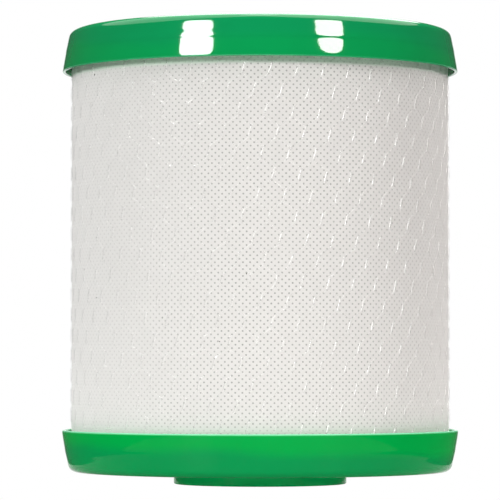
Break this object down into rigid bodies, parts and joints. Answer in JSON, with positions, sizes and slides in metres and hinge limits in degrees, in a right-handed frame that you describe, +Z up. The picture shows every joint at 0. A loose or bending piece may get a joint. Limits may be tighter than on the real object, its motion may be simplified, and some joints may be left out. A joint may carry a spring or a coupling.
{
  "type": "water filter cartridge",
  "caption": "Short wide drop-in water filter cartridge: a carbon block in a nonwoven wrap and a plastic net, with flared green end caps and a low outlet collar underneath.",
  "frame": {"origin": "middle of the collar's foot, on which the cartridge stands", "axes": "+Z up along the cartridge's axis, from the outlet to the closed cap; -Y faces the viewer"},
  "size_m": [0.117, 0.117, 0.1334],
  "materials": {
    "cap_plastic": "glossy injection-moulded polypropylene, slightly translucent green",
    "gasket_rubber": "smooth black rubber",
    "hot_melt": "cloudy hot-melt adhesive",
    "carbon": "matt black carbon powder bound with polyethylene",
    "nonwoven": "white point-bonded spun nonwoven",
    "net_plastic": "clear extruded polyethylene netting"
  },
  "bodies": {
    "root": {"bottom_end_cap": "cap_plastic", "top_end_cap": "cap_plastic", "outlet_gasket": "gasket_rubber", "bottom_hot_melt": "hot_melt", "top_hot_melt": "hot_melt", "carbon_block": "carbon", "core_liner": "nonwoven", "prefilter_wrap": "nonwoven", "net_sleeve": "net_plastic"}
  },
  "joints": []
}
